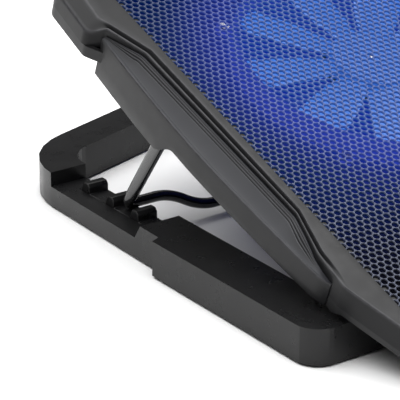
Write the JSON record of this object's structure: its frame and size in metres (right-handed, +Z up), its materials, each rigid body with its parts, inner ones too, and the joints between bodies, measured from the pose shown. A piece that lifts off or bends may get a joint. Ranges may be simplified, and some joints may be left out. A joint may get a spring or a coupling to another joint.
{
  "type": "laptop cooling pad",
  "caption": "Hinged laptop cooling pad: a low open base with notched side rails, a wire prop, and a perforated tray over large fans with flip-up stoppers at the front.",
  "frame": {"origin": "on the desk plane, under the middle of the whole pad", "axes": "+Z up, +X to the right seen from the front, +Y to the rear"},
  "size_m": [0.42, 0.3314, 0.1193],
  "materials": {
    "base_plastic": "fine texture",
    "rubber": "matte",
    "steel": "zinc plated",
    "shell_plastic": "fine texture",
    "tray_plastic": "satin",
    "mesh_metal": "satin black",
    "fan_plastic": "satin",
    "coil_copper": "lacquered copper",
    "bearing_bronze": "sintered",
    "led_board": "solder mask",
    "blade_plastic": "translucent",
    "shaft_steel": "ground",
    "lead_pvc": "soft",
    "socket_steel": "nickel plated",
    "prop_paint": "gloss black"
  },
  "bodies": {
    "base": {"base_frame": "base_plastic", "notch_rack_left": "base_plastic", "notch_rack_right": "base_plastic", "base_feet": "rubber", "hinge_pins": "steel"},
    "tray": {"tray_bottom_shell": "shell_plastic", "tray_top_frame": "tray_plastic", "mesh_grille": "mesh_metal", "wing_left": "tray_plastic", "wing_right": "tray_plastic", "fan_frame_left": "fan_plastic", "fan_frame_right": "fan_plastic", "fan_stator_left": "coil_copper", "fan_stator_right": "coil_copper", "fan_bearing_left": "bearing_bronze", "fan_bearing_right": "bearing_bronze", "fan_led_board_left": "led_board", "fan_led_board_right": "led_board", "fan_screws": "steel", "fan_leads": "lead_pvc", "usb_board": "led_board", "usb_sockets": "socket_steel", "switch_housing": "fan_plastic", "prop_clamps": "shell_plastic", "clamp_screws": "steel", "tray_screws": "steel", "stopper_pins": "steel"},
    "prop": {"prop_bail": "prop_paint"},
    "rotor_left": {"fan_rotor_left": "blade_plastic", "fan_shaft_left": "shaft_steel"},
    "rotor_right": {"fan_rotor_right": "blade_plastic", "fan_shaft_right": "shaft_steel"},
    "stopper_left": {"stopper_left": "tray_plastic"},
    "stopper_right": {"stopper_right": "tray_plastic"},
    "rocker": {"switch_rocker": "fan_plastic"}
  },
  "joints": [
    {"name": "tray_tilt", "type": "hinge", "parent": "base", "child": "tray", "pos_m": [0, -0.10832, 0.013], "axis": [1, 0, 0], "range_deg": [0, 5]},
    {"name": "prop_swing", "type": "hinge", "parent": "tray", "child": "prop", "pos_m": [0, 0.02346, 0.06542], "axis": [1, 0, 0], "range_deg": [0, 74]},
    {"name": "fan_left_spin", "type": "hinge", "parent": "tray", "child": "rotor_left", "pos_m": [-0.0735, 0.01606, 0.07113], "axis": [0, -0.342, 0.9397], "continuous": true},
    {"name": "fan_right_spin", "type": "hinge", "parent": "tray", "child": "rotor_right", "pos_m": [0.0735, 0.01606, 0.07113], "axis": [0, -0.342, 0.9397], "continuous": true},
    {"name": "stopper_left_flip", "type": "hinge", "parent": "tray", "child": "stopper_left", "pos_m": [-0.095, -0.16001, 0.02099], "axis": [1, 0, 0], "range_deg": [0, 90]},
    {"name": "stopper_right_flip", "type": "hinge", "parent": "tray", "child": "stopper_right", "pos_m": [0.095, -0.16001, 0.02099], "axis": [1, 0, 0], "range_deg": [0, 90]},
    {"name": "switch_rock", "type": "hinge", "parent": "tray", "child": "rocker", "pos_m": [0.0295, 0.10617, 0.11244], "axis": [0, -0.342, 0.9397], "range_deg": [0, 8]}
  ]
}
